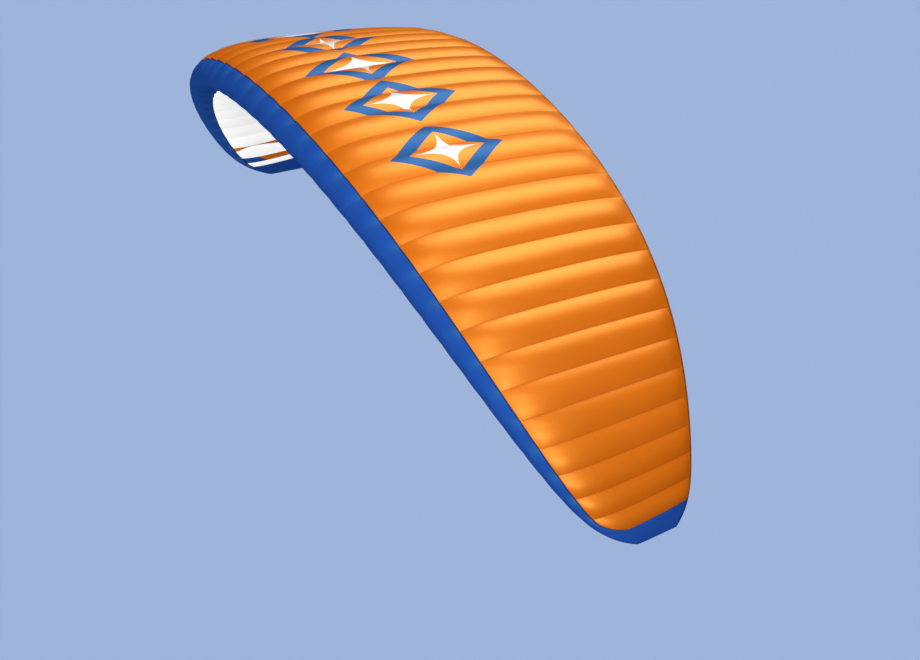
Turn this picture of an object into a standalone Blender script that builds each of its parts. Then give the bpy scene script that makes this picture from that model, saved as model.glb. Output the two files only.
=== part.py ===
"""A paraglider wing in flight: a ram-air canopy of 37 cells and two closed tip cells.

Frame: X along the span, the leading edge faces -Y, the trailing edge +Y, Z up, metres.
The origin is on the underside of the middle cell, where the middle suspension lines pull.

Every sheet is drawn on one surface, wing_point(cell, wrap):
  cell   runs along the span and counts cells: cell i lies between the rib seams i and i + 1,
         from 0 at the -X end to CELLS at the +X end; the tip cells are -1 to 0 and CELLS to CELLS + 1
  wrap   runs round one section: -1 at the trailing edge, along the lower skin to 0 at the
         leading edge, and back over the upper skin to 1; wrap squared is the chord fraction
"""

import bmesh
import bpy
import numpy as np

# Plan and arch
CELLS = 37
ROOT_CHORD = 2.80
HALF_SPAN = 5.727                       # along the arch, from the middle to station 1
ARCH_TURN = {1: 0.965, 3: 0.520, 5: -0.096}      # slope of the arch in radians, by power of the station
SWEEP = {2: 0.833, 4: 0.516, 8: 0.058}           # metres that the leading edge lies back
TAPER = {2: 0.2245, 4: 0.557, 8: -0.149}         # share of the root chord that is lost
TIP_FRONT_ROUND = 0.209                 # metres cut off the tip's front corner
TIP_REAR_ROUND = 0.188                  # and off its rear corner
CORNER_POWER = 29
WASHOUT = 0.094                         # radians, nose down at the tips
CELL_CROWDING = {3: 0.0676, 7: 0.0459}  # how much narrower the cells grow towards the tips
TIP_STRETCH = 0.181                     # share that a tip cell is wider, beyond station 1

# Section: three weights a side, at the nose, the middle and the tail
UPPER_WEIGHTS = (0.336, 0.146, 0.306)
LOWER_WEIGHTS = (0.232, 0.108, 0.100)
TWIST_AXIS = 0.25                       # chord fraction that the washout turns about

# Inflation: each cell swells between its rib seams
SWELL = 0.118                           # of the cell's width
SWELL_LOWER = 0.5                       # of the upper skin's swell
SWELL_NOSE = 0.22
SWELL_TAIL_FADE = 0.08                  # chord fraction over which it dies out at the tail
SWELL_TAIL_POWER = 0.7
NOSE_BLEND = 0.45                       # wrap at which it is full

# Cloth
CLOTH = 0.002
GAP = 0.0003                            # between any two pieces
NOSE_TOP = 0.0567                       # chord fraction where the nose band ends on top
NOSE_FLARE = 0.18                       # how much further aft it ends beside the tip cell
NOSE_FLARE_POWER = 2.5
NOSE_BOTTOM = 0.0958                    # and underneath
MOUTH_FROM = 0.018                      # chord fractions of an air intake
MOUTH_TO = 0.065
MOUTH_CELLS = range(12, 25)

# Tip cells: caps that close over a quarter circle
TIP_CLOSING = 0.995                     # how far round it they close
TIP_RINGS = 5
TIP_INNER_REACH = 0.985                 # the cap's inner face stops short of its outer one
TIP_INNER_WRAP = 0.99

# Grid lines shared by all neighbours, so that their edges stay parallel
COLUMNS = (0.0, 0.15, 0.5, 0.85, 1.0)
MOUTH_COLUMNS = (1, 2)                  # the two middle ones of a cell's four columns of squares
UPPER_ROWS = 8
NOSE_TOP_ROWS = 3
NOSE_FRONT_ROWS = 2                     # from the leading edge back to the mouths
LOWER_ROWS = 5
TIP_NOSE_ROWS = 5
SHARP_ANGLE = np.radians(35)

# Where the pieces end, in cells. The nose band has a seam along the leading edge, so that
# each of its lengths is a top strip and an under strip.
NOSE_ENDS = {"right": (0, 12), "centre": (12, 25), "left": (25, 37)}
LOWER_ENDS = {
    "lower_right_outer": (2, 9),
    "lower_right_inner": (9, 15),
    "lower_centre": (15, 22),
    "lower_left_inner": (22, 28),
    "lower_left_outer": (28, 35),
}

# The two outermost cells of the lower skin are cut into five panels. Their grid lines start
# at the nose band at these places, in cells in from the tip cell, and reach the trailing
# edge on COLUMNS, as everywhere else.
STRIPED_CELLS = 2
STRIPE_LINES = (2.0, 1.85, 1.70, 1.35, 1.0, 0.97, 0.66, 0.33, 0.0)
STRIPE_PANELS = {                       # first and last grid line, and the rows from the trailing edge
    "flash": (0, 2, 0, 5),
    "inset": (2, 5, 0, 5),
    "stripe_rear": (5, 6, 0, 3),
    "stripe_front": (5, 6, 3, 5),
    "border": (6, 8, 0, 5),
}
FLASH_PINCH = 0.93                      # share of its width that the flash loses at its waist
FLASH_PINCH_SKEW = 1.87                 # puts the waist at two thirds of the way to the nose band
FLASH_PINCH_POWER = 1.4

ORANGE = (0.95, 0.20, 0.004)
BLUE = (0.008, 0.055, 0.30)
WHITE = (0.90, 0.90, 0.89)
CLOTH_ROUGHNESS = 0.48

ARCH_STEPS = 4000
ARCH_REACH = 1.02                       # the arch is worked out a little beyond station 1
SMALL_STEP = 1e-5                       # in wrap, for slopes along the section


def powers(table, station):
    """The sum of each coefficient times the station to its power."""
    return sum(value * station**power for power, value in table.items())


def arch_table():
    """Station, X, Z and slope along half of the arch, by adding up its slope step by step."""
    station = np.linspace(0.0, ARCH_REACH, ARCH_STEPS + 1)
    slope = powers(ARCH_TURN, station)
    middle = (slope[1:] + slope[:-1]) / 2
    step = HALF_SPAN * ARCH_REACH / ARCH_STEPS
    across = np.concatenate([[0.0], np.cumsum(np.cos(middle)) * step])
    drop = np.concatenate([[0.0], np.cumsum(np.sin(middle)) * step])
    return station, across, -drop, slope


ARCH = arch_table()


def station_of(cell):
    """Station of a place counted in cells: 0 in the middle, and 1 or -1 just inside a tip."""
    even = (np.asarray(cell, float) - CELLS / 2) / (CELLS / 2 + 1)
    last_rib = CELLS / 2 / (CELLS / 2 + 1)
    in_tip = np.sign(even) * np.maximum(np.abs(even) - last_rib, 0.0)
    crowded = sum(value * (even - even**power) for power, value in CELL_CROWDING.items())
    return even + crowded + TIP_STRETCH * in_tip


def chord_and_front(station):
    """Chord length and the leading edge's Y."""
    near_tip = station**CORNER_POWER
    front = powers(SWEEP, station) + TIP_FRONT_ROUND * near_tip
    chord = ROOT_CHORD * (1 - powers(TAPER, station)) - (TIP_FRONT_ROUND + TIP_REAR_ROUND) * near_tip
    return chord, front


def section(wrap):
    """Chord fraction and height of the section, both as parts of the chord.

    The height is wrap (1 - x) times a smooth curve through three weights.
    """
    x = wrap**2
    weights = [np.where(wrap > 0, up, low) for up, low in zip(UPPER_WEIGHTS, LOWER_WEIGHTS)]
    curve = weights[0] * (1 - x) ** 2 + 2 * weights[1] * x * (1 - x) + weights[2] * x**2
    return x, wrap * (1 - x) * curve


def section_normal(wrap, fullness):
    """The section's outward normal, aft and up, by a small step along the wrap."""
    x_after, height_after = section(wrap + SMALL_STEP)
    x_before, height_before = section(wrap - SMALL_STEP)
    along_x = x_after - x_before
    along_height = (height_after - height_before) * fullness
    length = np.hypot(along_x, along_height)
    return -along_height / length, along_x / length


def width_around(cell):
    """Length along the arch, in metres, from half a cell before a place to half a cell after it."""
    return HALF_SPAN * (station_of(cell + 0.5) - station_of(cell - 0.5))


def swell(cell, wrap):
    """How far a cell's skin stands out between its seams, in metres: a parabola across the cell."""
    place = cell - np.floor(cell)
    width = width_around(np.floor(cell) + 0.5)
    across = 4 * place * (1 - place)
    rise = np.clip(np.abs(wrap) / NOSE_BLEND, 0, 1)
    from_nose = SWELL_NOSE + (1 - SWELL_NOSE) * rise**2 * (3 - 2 * rise)
    to_tail = np.clip((1 - wrap**2) / SWELL_TAIL_FADE, 0, 1) ** SWELL_TAIL_POWER
    side = SWELL_LOWER + (1 - SWELL_LOWER) * np.clip(0.5 + wrap / NOSE_BLEND, 0, 1)
    in_tip = (cell < 0) | (cell > CELLS)
    return np.where(in_tip, 0.0, SWELL * width * across * from_nose * to_tail * side)


def fullness_of(cell):
    """1 in the cells with ribs, falling as a quarter circle in the tip cells."""
    beyond = np.maximum(np.maximum(-cell, cell - CELLS), 0.0) * TIP_CLOSING
    return np.sqrt(1 - np.minimum(beyond, TIP_CLOSING) ** 2)


def wing_point(cell, wrap, stand_off):
    """Points of the wing at a stand-off outside the inner skin line, as an array (..., 3)."""
    cell, wrap, stand_off = np.broadcast_arrays(
        np.asarray(cell, float), np.asarray(wrap, float), np.asarray(stand_off, float)
    )
    station = station_of(cell)
    side = np.sign(station)
    reach = np.abs(station)
    across = side * np.interp(reach, ARCH[0], ARCH[1])
    height = np.interp(reach, ARCH[0], ARCH[2])
    slope = side * np.interp(reach, ARCH[0], ARCH[3])
    chord, front = chord_and_front(reach)
    fullness = fullness_of(cell)
    aft_part, up_part = section(wrap)
    normal_aft, normal_up = section_normal(wrap, fullness)
    out = stand_off + swell(cell, wrap)
    aft = aft_part * chord + normal_aft * out
    up = up_part * chord * fullness + normal_up * out
    from_axis = aft - TWIST_AXIS * chord
    up = up - from_axis * np.sin(WASHOUT * reach**2)
    return np.stack(
        [across + up * np.sin(slope), front + aft, height + up * np.cos(slope)], axis=-1
    )


LINE_PLACE = (CELLS / 2, -np.sqrt(0.30))         # middle cell, 30 % of the chord, underneath
ORIGIN = wing_point(*LINE_PLACE, GAP / 2 + CLOTH)


def nose_edge(cell):
    """Wrap where the nose band ends on top: level, but it sweeps aft in the cell beside each tip."""
    into_last = np.maximum(np.abs(cell - CELLS / 2) - (CELLS / 2 - 1), 0.0)
    return np.sqrt(NOSE_TOP + NOSE_FLARE * into_last**NOSE_FLARE_POWER)


def seam_clearance(cell, wrap, rise):
    """Half the gap between two pieces, in wrap, where they meet across the chord.

    rise is how much the seam's wrap changes over a cell: the steeper it runs, the longer the
    way along the chord that gives the same gap square to the seam.
    """
    chord, _ = chord_and_front(np.abs(station_of(cell)))
    x_after, height_after = section(wrap + SMALL_STEP)
    x_before, height_before = section(wrap - SMALL_STEP)
    way_round = np.hypot(x_after - x_before, height_after - height_before) / (2 * SMALL_STEP)
    steepness = rise * way_round * chord / width_around(np.floor(cell) + 0.5)
    return GAP / 2 / (way_round * chord) * np.hypot(1.0, steepness)


def cell_clearance(cell):
    """Half the gap between two pieces, in cells, where they meet along a rib."""
    return GAP / 2 / width_around(cell)


def new_object(name, points, faces, finish):
    """A mesh object from points already in the part's frame, shaded smooth but for its sharp edges."""
    mesh = bpy.data.meshes.new(name)
    mesh.from_pydata([tuple(point) for point in points - ORIGIN], [], faces)
    built = bmesh.new()
    built.from_mesh(mesh)
    loose = [vertex for vertex in built.verts if not vertex.link_faces]
    bmesh.ops.delete(built, geom=loose, context="VERTS")
    built.to_mesh(mesh)
    built.free()
    mesh.shade_smooth()
    mesh.set_sharp_from_angle(angle=SHARP_ANGLE)
    mesh.materials.append(finish)
    thing = bpy.data.objects.new(name, mesh)
    bpy.context.scene.collection.objects.link(thing)
    return thing


def halves(square, rising):
    """A square's two triangles, split from its first corner or from its second."""
    a, b, c, d = square
    return [(a, b, c), (a, c, d)] if rising else [(a, b, d), (b, c, d)]


def cloth(name, cells, wraps, finish, open_cell=None):
    """A sheet of cloth over a grid of places.

    cells and wraps are arrays (rows, columns); columns run along +X and rows up the wrap.
    open_cell(row, column) says where the sheet is cut out. Each kept square gets two outer
    and two inner triangles, split the same way so that the cloth keeps its thickness, and
    each edge with a square on one side only gets a wall.
    """
    rows, columns = cells.shape
    outer = wing_point(cells, wraps, GAP / 2 + CLOTH).reshape(-1, 3)
    inner = wing_point(cells, wraps, GAP / 2).reshape(-1, 3)
    inside = rows * columns
    squares = []
    faces = []
    for row in range(rows - 1):
        for column in range(columns - 1):
            if open_cell and open_cell(row, column):
                continue
            corner = row * columns + column
            square = (corner, corner + 1, corner + columns + 1, corner + columns)
            first_half_of_cell = cells[row : row + 2, column : column + 2].mean() % 1 < 0.5
            squares.append(square)
            for half in halves(square, first_half_of_cell):
                faces.append(half)
                faces.append(tuple(inside + corner for corner in reversed(half)))
    edges = {(a, b) for square in squares for a, b in zip(square, square[1:] + square[:1])}
    faces += [(b, a, inside + a, inside + b) for a, b in sorted(edges) if (b, a) not in edges]
    return new_object(name, np.concatenate([outer, inner]), faces, finish)


def cell_columns(first, last):
    """Grid columns from one seam to another, a hair inside both."""
    places = [cell + part for cell in range(first, last) for part in COLUMNS[:-1]] + [float(last)]
    places = np.array(places)
    places[0] += cell_clearance(places[0])
    places[-1] -= cell_clearance(places[-1])
    return places


def rows_between(low, high, count):
    return np.linspace(low, high, count + 1)


WRAP_TOP = np.sqrt(NOSE_TOP)
WRAP_TAIL = np.sqrt(1 - SWELL_TAIL_FADE)         # where the swell starts to die out
WRAP_BOTTOM = -np.sqrt(NOSE_BOTTOM)
MOUTH_REAR = -np.sqrt(MOUTH_TO)
MOUTH_FRONT = -np.sqrt(MOUTH_FROM)
LOWER_WRAPS = rows_between(-1.0, WRAP_BOTTOM, LOWER_ROWS)
UPPER_WRAPS = np.append(rows_between(WRAP_TOP, WRAP_TAIL, UPPER_ROWS - 1), 1.0)


def panel(name, columns, wraps, finish, open_cell=None):
    """A sheet over given grid columns and wraps, a hair inside the seams across the chord.

    columns is one row of cell places, or a row for each wrap, and wraps is one column of them
    or a column for each place. No hair is taken off at the trailing edge, which has no
    neighbour.
    """
    wraps = np.asarray(wraps, float)
    wraps = wraps[:, None] if wraps.ndim == 1 else wraps
    cells, wraps = (np.array(grid) for grid in np.broadcast_arrays(columns, wraps))
    low_rise, high_rise = (np.gradient(wraps[row], cells[row]) for row in (0, -1))
    if wraps[0, 0] > -1:
        wraps[0] += seam_clearance(cells[0], wraps[0] + SMALL_STEP, low_rise)
    if wraps[-1, 0] < 1:
        wraps[-1] -= seam_clearance(cells[-1], wraps[-1] - SMALL_STEP, high_rise)
    return cloth(name, cells, wraps, finish, open_cell)


def upper_panel(index, finish):
    """One cell's upper panel, from the nose band to the trailing edge."""
    columns = cell_columns(index, index + 1)
    edge = nose_edge(columns)
    aft = (UPPER_WRAPS - WRAP_TOP) / (1 - WRAP_TOP)
    wraps = edge + (1 - edge) * aft[:, None]
    return panel(f"upper_panel_{index + 1:02d}", columns, wraps, finish)


def striped_lines(share):
    """Grid lines of the striped cells, in cells in from the tip cell: share 1 at the nose band."""
    ends = range(STRIPED_CELLS, 0, -1)
    even = np.array([end - part for end in ends for part in COLUMNS[:-1]] + [0.0])
    return even + (np.array(STRIPE_LINES) - even) * np.asarray(share, float)[:, None]


def nose_top(name, first, last, finish):
    """A top strip of the nose band, from the leading edge to the upper panels."""
    columns = cell_columns(first, last)
    wraps = nose_edge(columns) * rows_between(0.0, 1.0, NOSE_TOP_ROWS)[:, None]
    return panel(name, columns, wraps, finish)


def nose_under(name, first, last, finish):
    """An under strip of the nose band, with a mouth in each intake cell."""
    wraps = np.array([WRAP_BOTTOM, MOUTH_REAR, *rows_between(MOUTH_FRONT, 0.0, NOSE_FRONT_ROWS)])
    columns = np.repeat(cell_columns(first, last)[None, :], len(wraps), axis=0)
    lines = striped_lines(wraps / WRAP_BOTTOM)[:, 1:-1]
    if first == 0:
        columns[:, 1 : lines.shape[1] + 1] = lines[:, ::-1]
    if last == CELLS:
        columns[:, -1 - lines.shape[1] : -1] = CELLS - lines

    def in_mouth(row, column):
        cell, part = divmod(column, len(COLUMNS) - 1)
        return row == 1 and first + cell in MOUTH_CELLS and part in MOUTH_COLUMNS

    return panel(name, columns, wraps, finish, in_mouth)


def lower_skin(name, first, last, finish):
    """A section of the lower skin, from the trailing edge to the nose band."""
    return panel(name, cell_columns(first, last), LOWER_WRAPS, finish)


def striped_panel(name, side, lines, rows, finish):
    """A panel of the striped cells, between two grid lines and two rows, the tail row first."""
    forward = (LOWER_WRAPS + 1) / (WRAP_BOTTOM + 1)
    from_tip = striped_lines(forward)
    pinch = FLASH_PINCH * np.sin(np.pi * forward**FLASH_PINCH_SKEW).clip(0) ** FLASH_PINCH_POWER
    from_tip[:, 1:3] += (STRIPED_CELLS - from_tip[:, 1:3]) * pinch[:, None]
    from_tip = from_tip[rows[0] : rows[1] + 1, lines[0] : lines[1] + 1]
    from_tip[:, 0] -= cell_clearance(from_tip[:, 0])
    from_tip[:, -1] += cell_clearance(from_tip[:, -1])
    columns = CELLS - from_tip if side > 0 else from_tip[:, ::-1]
    return panel(name, columns, LOWER_WRAPS[rows[0] : rows[1] + 1], finish)


def tip_cell(name, side, finish):
    """A closed tip cell: a thin-walled cap that is open only where it meets the last rib."""
    places = np.sin(np.linspace(0, np.pi / 2, TIP_RINGS + 1))
    places[0] = cell_clearance(0.0)
    nose = rows_between(WRAP_BOTTOM, WRAP_TOP, TIP_NOSE_ROWS)
    wraps = np.concatenate([LOWER_WRAPS[:-1], nose[:-1], UPPER_WRAPS])
    count = len(wraps)
    under = count // 2                  # the lower half's squares split the other way
    inner_places = places * TIP_INNER_REACH
    inner_places[0] = places[0]

    def loops(stations, wrap, stand_off):
        cells = CELLS + stations if side > 0 else -stations
        return wing_point(cells[:, None], wrap[None, :], stand_off).reshape(-1, 3)

    points = np.concatenate([loops(places, wraps, GAP / 2 + CLOTH),
                             loops(inner_places, wraps * TIP_INNER_WRAP, GAP / 2)])
    inside = len(places) * count
    last = (len(places) - 1) * count
    faces = []
    for ring in range(len(places) - 1):
        for k in range(count):
            a, b = ring * count + k, ring * count + (k + 1) % count
            for half in halves((a, a + count, b + count, b), k < under):
                faces.append(half)
                faces.append(tuple(inside + corner for corner in reversed(half)))
    for k in range(count):
        after = (k + 1) % count
        faces.append((after, inside + after, inside + k, k))
    end_loop = list(range(last, last + count))
    faces.append(tuple(reversed(end_loop)))
    faces.append(tuple(inside + corner for corner in end_loop))
    if side < 0:
        faces = [tuple(reversed(face)) for face in faces]
    return new_object(name, points, faces, finish)


def ripstop(name, colour):
    """Coated ripstop nylon, a little glossy."""
    made = bpy.data.materials.new(name)
    made.use_nodes = True
    shader = made.node_tree.nodes["Principled BSDF"]
    shader.inputs["Base Color"].default_value = (*colour, 1.0)
    shader.inputs["Roughness"].default_value = CLOTH_ROUGHNESS
    shader.inputs["Metallic"].default_value = 0.0
    made.diffuse_color = (*colour, 1.0)
    return made


def build():
    for thing in list(bpy.data.objects):
        bpy.data.objects.remove(thing, do_unlink=True)
    orange = ripstop("orange_ripstop", ORANGE)
    blue = ripstop("blue_ripstop", BLUE)
    white = ripstop("white_ripstop", WHITE)
    for index in range(CELLS):
        upper_panel(index, orange)
    for length, (first, last) in NOSE_ENDS.items():
        nose_top(f"nose_top_{length}", first, last, blue)
        nose_under(f"nose_under_{length}", first, last, blue)
    for name, (first, last) in LOWER_ENDS.items():
        lower_skin(name, first, last, white)
    colours = {"flash": orange, "stripe_rear": orange, "stripe_front": blue}
    for label, side in (("left", 1), ("right", -1)):
        for stripe, (inner, outer, rear, front) in STRIPE_PANELS.items():
            colour = colours.get(stripe, white)
            striped_panel(f"{stripe}_{label}", side, (inner, outer), (rear, front), colour)
        tip_cell(f"tip_{label}", side, blue)


build()
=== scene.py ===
# %% [markdown]
# # A paraglider wing in flight
#
# A paraglider wing is a bag of thin nylon that flies because moving air fills it. Thirty-seven
# cells lie side by side. Ribs inside hold each cell to the shape of an aerofoil, and between two
# ribs the pressure makes the cloth swell. This notebook dresses a fixed frame of plain solids
# with fine cloth: every sheet is worked out from one formula, so neighbours always meet.

import bpy
import numpy as np
from mathutils import Matrix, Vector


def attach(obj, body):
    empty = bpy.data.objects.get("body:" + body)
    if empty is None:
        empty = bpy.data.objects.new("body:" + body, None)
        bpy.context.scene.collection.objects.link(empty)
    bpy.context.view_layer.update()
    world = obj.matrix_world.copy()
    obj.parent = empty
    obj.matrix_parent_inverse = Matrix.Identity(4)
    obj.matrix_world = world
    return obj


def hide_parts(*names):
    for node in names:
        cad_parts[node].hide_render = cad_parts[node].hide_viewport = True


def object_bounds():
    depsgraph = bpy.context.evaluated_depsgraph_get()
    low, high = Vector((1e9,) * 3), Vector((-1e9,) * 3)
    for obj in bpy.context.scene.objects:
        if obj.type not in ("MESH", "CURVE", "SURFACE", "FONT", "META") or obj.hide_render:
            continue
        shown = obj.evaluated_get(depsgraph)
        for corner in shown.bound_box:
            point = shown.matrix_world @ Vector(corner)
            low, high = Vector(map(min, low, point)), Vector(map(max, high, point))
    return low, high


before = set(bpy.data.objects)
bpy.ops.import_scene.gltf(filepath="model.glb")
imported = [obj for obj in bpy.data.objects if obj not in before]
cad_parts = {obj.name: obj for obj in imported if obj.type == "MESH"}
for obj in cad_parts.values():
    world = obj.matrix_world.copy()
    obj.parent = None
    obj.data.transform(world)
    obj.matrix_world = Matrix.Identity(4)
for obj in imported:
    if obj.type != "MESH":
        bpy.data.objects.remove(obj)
FRAME_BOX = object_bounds()
print("fixed nodes:", len(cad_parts))
print("frame box, m:", [tuple(round(x, 3) for x in corner) for corner in FRAME_BOX])

# %% [markdown]
# ## The shape of the wing
#
# Seen from above, the leading edge sweeps back and the chord shrinks towards the tips. Seen from
# the front, the wing is an arch that turns ever more steeply. Both are smooth, so each is a short
# sum of powers of the station, which is 0 in the middle and 1 at a tip. Drawing the curves by
# hand with Bezier handles would work too, but a formula keeps both halves equal and lets every
# later cell ask for any point of the wing.

# %% Driving sizes of the plan and the arch, in metres and radians
CELLS = 37
ROOT_CHORD = 2.80
HALF_SPAN = 5.727
ARCH_TURN = {1: 0.965, 3: 0.520, 5: -0.096}
SWEEP = {2: 0.833, 4: 0.516, 8: 0.058}
TAPER = {2: 0.2245, 4: 0.557, 8: -0.149}
TIP_FRONT_ROUND = 0.209
TIP_REAR_ROUND = 0.188
CORNER_POWER = 29
WASHOUT = 0.094
CELL_CROWDING = {3: 0.0676, 7: 0.0459}
TIP_STRETCH = 0.181
ARCH_STEPS = 4000
ARCH_REACH = 1.02
TWIST_AXIS = 0.25
print("length of the arch to station 1 and back, m:", 2 * HALF_SPAN, " root chord, m:", ROOT_CHORD)


# %% Sums of powers and the arch's table
def powers(table, station):
    """The sum of each coefficient times the station to its power."""
    return sum(value * station**power for power, value in table.items())


def arch_table():
    """Station, X, Z and slope along half of the arch: X adds up cos(slope), Z adds up -sin(slope)."""
    station = np.linspace(0.0, ARCH_REACH, ARCH_STEPS + 1)
    slope = powers(ARCH_TURN, station)
    middle = (slope[1:] + slope[:-1]) / 2
    step = HALF_SPAN * ARCH_REACH / ARCH_STEPS
    across = np.concatenate([[0.0], np.cumsum(np.cos(middle)) * step])
    drop = np.concatenate([[0.0], np.cumsum(np.sin(middle)) * step])
    return station, across, -drop, slope


ARCH = arch_table()
print("arch, m: half width %.3f, drop %.3f" % (ARCH[1][-1], -ARCH[2][-1]))


# %% Cells, chord and leading edge
def station_of(cell):
    """Station of a place counted in cells: even steps, plus odd powers that crowd the tips,
    plus a stretch of the two tip cells."""
    even = (np.asarray(cell, float) - CELLS / 2) / (CELLS / 2 + 1)
    last_rib = CELLS / 2 / (CELLS / 2 + 1)
    in_tip = np.sign(even) * np.maximum(np.abs(even) - last_rib, 0.0)
    crowded = sum(value * (even - even**power) for power, value in CELL_CROWDING.items())
    return even + crowded + TIP_STRETCH * in_tip


def chord_and_front(reach):
    """Chord length and Y of the leading edge: sums of powers, and a high power rounds the tip."""
    near_tip = reach**CORNER_POWER
    front = powers(SWEEP, reach) + TIP_FRONT_ROUND * near_tip
    chord = ROOT_CHORD * (1 - powers(TAPER, reach))
    return chord - (TIP_FRONT_ROUND + TIP_REAR_ROUND) * near_tip, front


def width_around(cell):
    """Length along the arch from half a cell before a place to half a cell after it."""
    return HALF_SPAN * (station_of(cell + 0.5) - station_of(cell - 0.5))


print("widest and narrowest cell, m: %.3f, %.3f" % (width_around(CELLS / 2), width_around(0.5)))

# %% [markdown]
# ## The section and its swell
#
# A place on one rib is called wrap. It runs from -1 at the trailing edge, along the underside to
# 0 at the leading edge, and back over the top to 1, and its square is the chord fraction. That
# square is what makes the nose round: near 0 the height grows with the root of the distance.
# Between two ribs the skin stands out as a parabola, less on the underside and at the nose, and
# not at all at the trailing edge, where both skins are sewn together.

# %% Section and inflation
UPPER_WEIGHTS = (0.336, 0.146, 0.306)
LOWER_WEIGHTS = (0.232, 0.108, 0.100)
SWELL = 0.118
SWELL_LOWER = 0.5
SWELL_NOSE = 0.12
SWELL_TAIL_FADE = 0.08
SWELL_TAIL_POWER = 0.7
NOSE_BLEND = 0.40
TIP_CLOSING = 0.995
SMALL_STEP = 1e-5


def section(wrap):
    """Chord fraction x and height: wrap (1 - x) times a quadratic Bezier curve of three weights."""
    x = wrap**2
    weights = [np.where(wrap > 0, up, low) for up, low in zip(UPPER_WEIGHTS, LOWER_WEIGHTS)]
    curve = weights[0] * (1 - x) ** 2 + 2 * weights[1] * x * (1 - x) + weights[2] * x**2
    return x, wrap * (1 - x) * curve


def section_normal(wrap, fullness):
    """Outward normal, aft and up: the section's direction over a small step, turned a quarter."""
    x_after, height_after = section(wrap + SMALL_STEP)
    x_before, height_before = section(wrap - SMALL_STEP)
    along_x = x_after - x_before
    along_height = (height_after - height_before) * fullness
    length = np.hypot(along_x, along_height)
    return -along_height / length, along_x / length


def swell(cell, wrap):
    """Height of the skin over its seams: width x 4 p (1 - p) x fades for nose, tail and underside."""
    place = cell - np.floor(cell)
    across = 4 * place * (1 - place)
    rise = np.clip(np.abs(wrap) / NOSE_BLEND, 0, 1)
    from_nose = SWELL_NOSE + (1 - SWELL_NOSE) * rise**2 * (3 - 2 * rise)
    to_tail = np.clip((1 - wrap**2) / SWELL_TAIL_FADE, 0, 1) ** SWELL_TAIL_POWER
    side = SWELL_LOWER + (1 - SWELL_LOWER) * np.clip(0.5 + wrap / NOSE_BLEND, 0, 1)
    in_tip = (cell < 0) | (cell > CELLS)
    height = SWELL * width_around(np.floor(cell) + 0.5) * across
    return np.where(in_tip, 0.0, height * from_nose * to_tail * side)


def fullness_of(cell):
    """1 in the cells with ribs, falling as a quarter circle in the two tip cells."""
    beyond = np.maximum(np.maximum(-cell, cell - CELLS), 0.0) * TIP_CLOSING
    return np.sqrt(1 - np.minimum(beyond, TIP_CLOSING) ** 2)


half_section = np.linspace(0, 1, 101)
thickness = section(half_section)[1] - section(-half_section)[1]
print("thickest place of the section, share of the chord: %.3f" % thickness.max())


# %% Any point of the wing
SOLID_CLOTH = 0.002
SOLID_GAP = 0.0003
ORIGIN_CHORD_PART = 0.30


def raw_point(cell, wrap, stand_off):
    """Section point + normal x (stand-off + swell), twisted, leant with the arch and swept back."""
    cell, wrap, stand_off = np.broadcast_arrays(
        np.asarray(cell, float), np.asarray(wrap, float), np.asarray(stand_off, float)
    )
    station = station_of(cell)
    side, reach = np.sign(station), np.abs(station)
    across, height, lean = (np.interp(reach, ARCH[0], ARCH[k]) for k in (1, 2, 3))
    across, lean = side * across, side * lean
    chord, front = chord_and_front(reach)
    fullness = fullness_of(cell)
    aft_part, up_part = section(wrap)
    normal_aft, normal_up = section_normal(wrap, fullness)
    out = stand_off + swell(cell, wrap)
    aft = aft_part * chord + normal_aft * out
    up = up_part * chord * fullness + normal_up * out
    up = up - (aft - TWIST_AXIS * chord) * np.sin(WASHOUT * reach**2)
    return np.stack([across + up * np.sin(lean), front + aft, height + up * np.cos(lean)], axis=-1)


OUTER = SOLID_GAP / 2 + SOLID_CLOTH
ORIGIN = raw_point(CELLS / 2, -np.sqrt(ORIGIN_CHORD_PART), OUTER)


def wing_point(cell, wrap, depth=0.0):
    """A point of the wing in the frame, at a depth in metres under the outer face of the cloth."""
    return raw_point(cell, wrap, OUTER - np.asarray(depth, float)) - ORIGIN


print("top of the middle cell, m:", np.round(wing_point(CELLS / 2, 0.5), 3))

# %% [markdown]
# ## From a grid of places to a sheet of cloth
#
# A sheet is a grid of places (cell, wrap). Its outer face lies on the wing's surface and its
# inner face a cloth's thickness below. Blender's Solidify modifier could add the second face, but
# working both out from the formula keeps the edges of neighbours parallel. Squares can be left
# out for the air intakes, and every edge with a square on one side only gets a narrow wall, so
# the mesh is closed.
#
# Each sheet also carries what its material needs: a UV map in metres along the cloth, a second
# one with the place on the whole wing, the distances to its sewn edges, and which face is inside.

# %% A mesh from arrays
THIN = 0.0008
SEAM_GAP = 0.00012
SHARP_ANGLE = np.radians(40)
ROUNDING = 1e-9


def make_mesh(name, points, faces, layers, maps):
    """A smooth mesh object from points (n, 3) and square faces (m, 4), with attributes and UV maps.

    A square that names one corner twice becomes a triangle.
    """
    mesh = bpy.data.meshes.new(name)
    mesh.from_pydata(points.tolist(), [], [list(dict.fromkeys(face)) for face in faces.tolist()])
    corners = np.zeros(len(mesh.loops), np.int32)
    mesh.loops.foreach_get("vertex_index", corners)
    for label, values in layers.items():
        layer = mesh.attributes.new(label, "FLOAT", "POINT")
        layer.data.foreach_set("value", np.ascontiguousarray(values, np.float32))
    for label, values in maps.items():
        uv = mesh.uv_layers.new(name=label)
        uv.data.foreach_set("uv", np.ascontiguousarray(values[corners], np.float32).ravel())
    mesh.shade_smooth()
    mesh.set_sharp_from_angle(angle=SHARP_ANGLE)
    thing = bpy.data.objects.new(name, mesh)
    bpy.context.scene.collection.objects.link(thing)
    return thing


print("sheets are %.1f mm thick, seams %.2f mm wide" % (THIN * 1000, SEAM_GAP * 1000))


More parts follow.
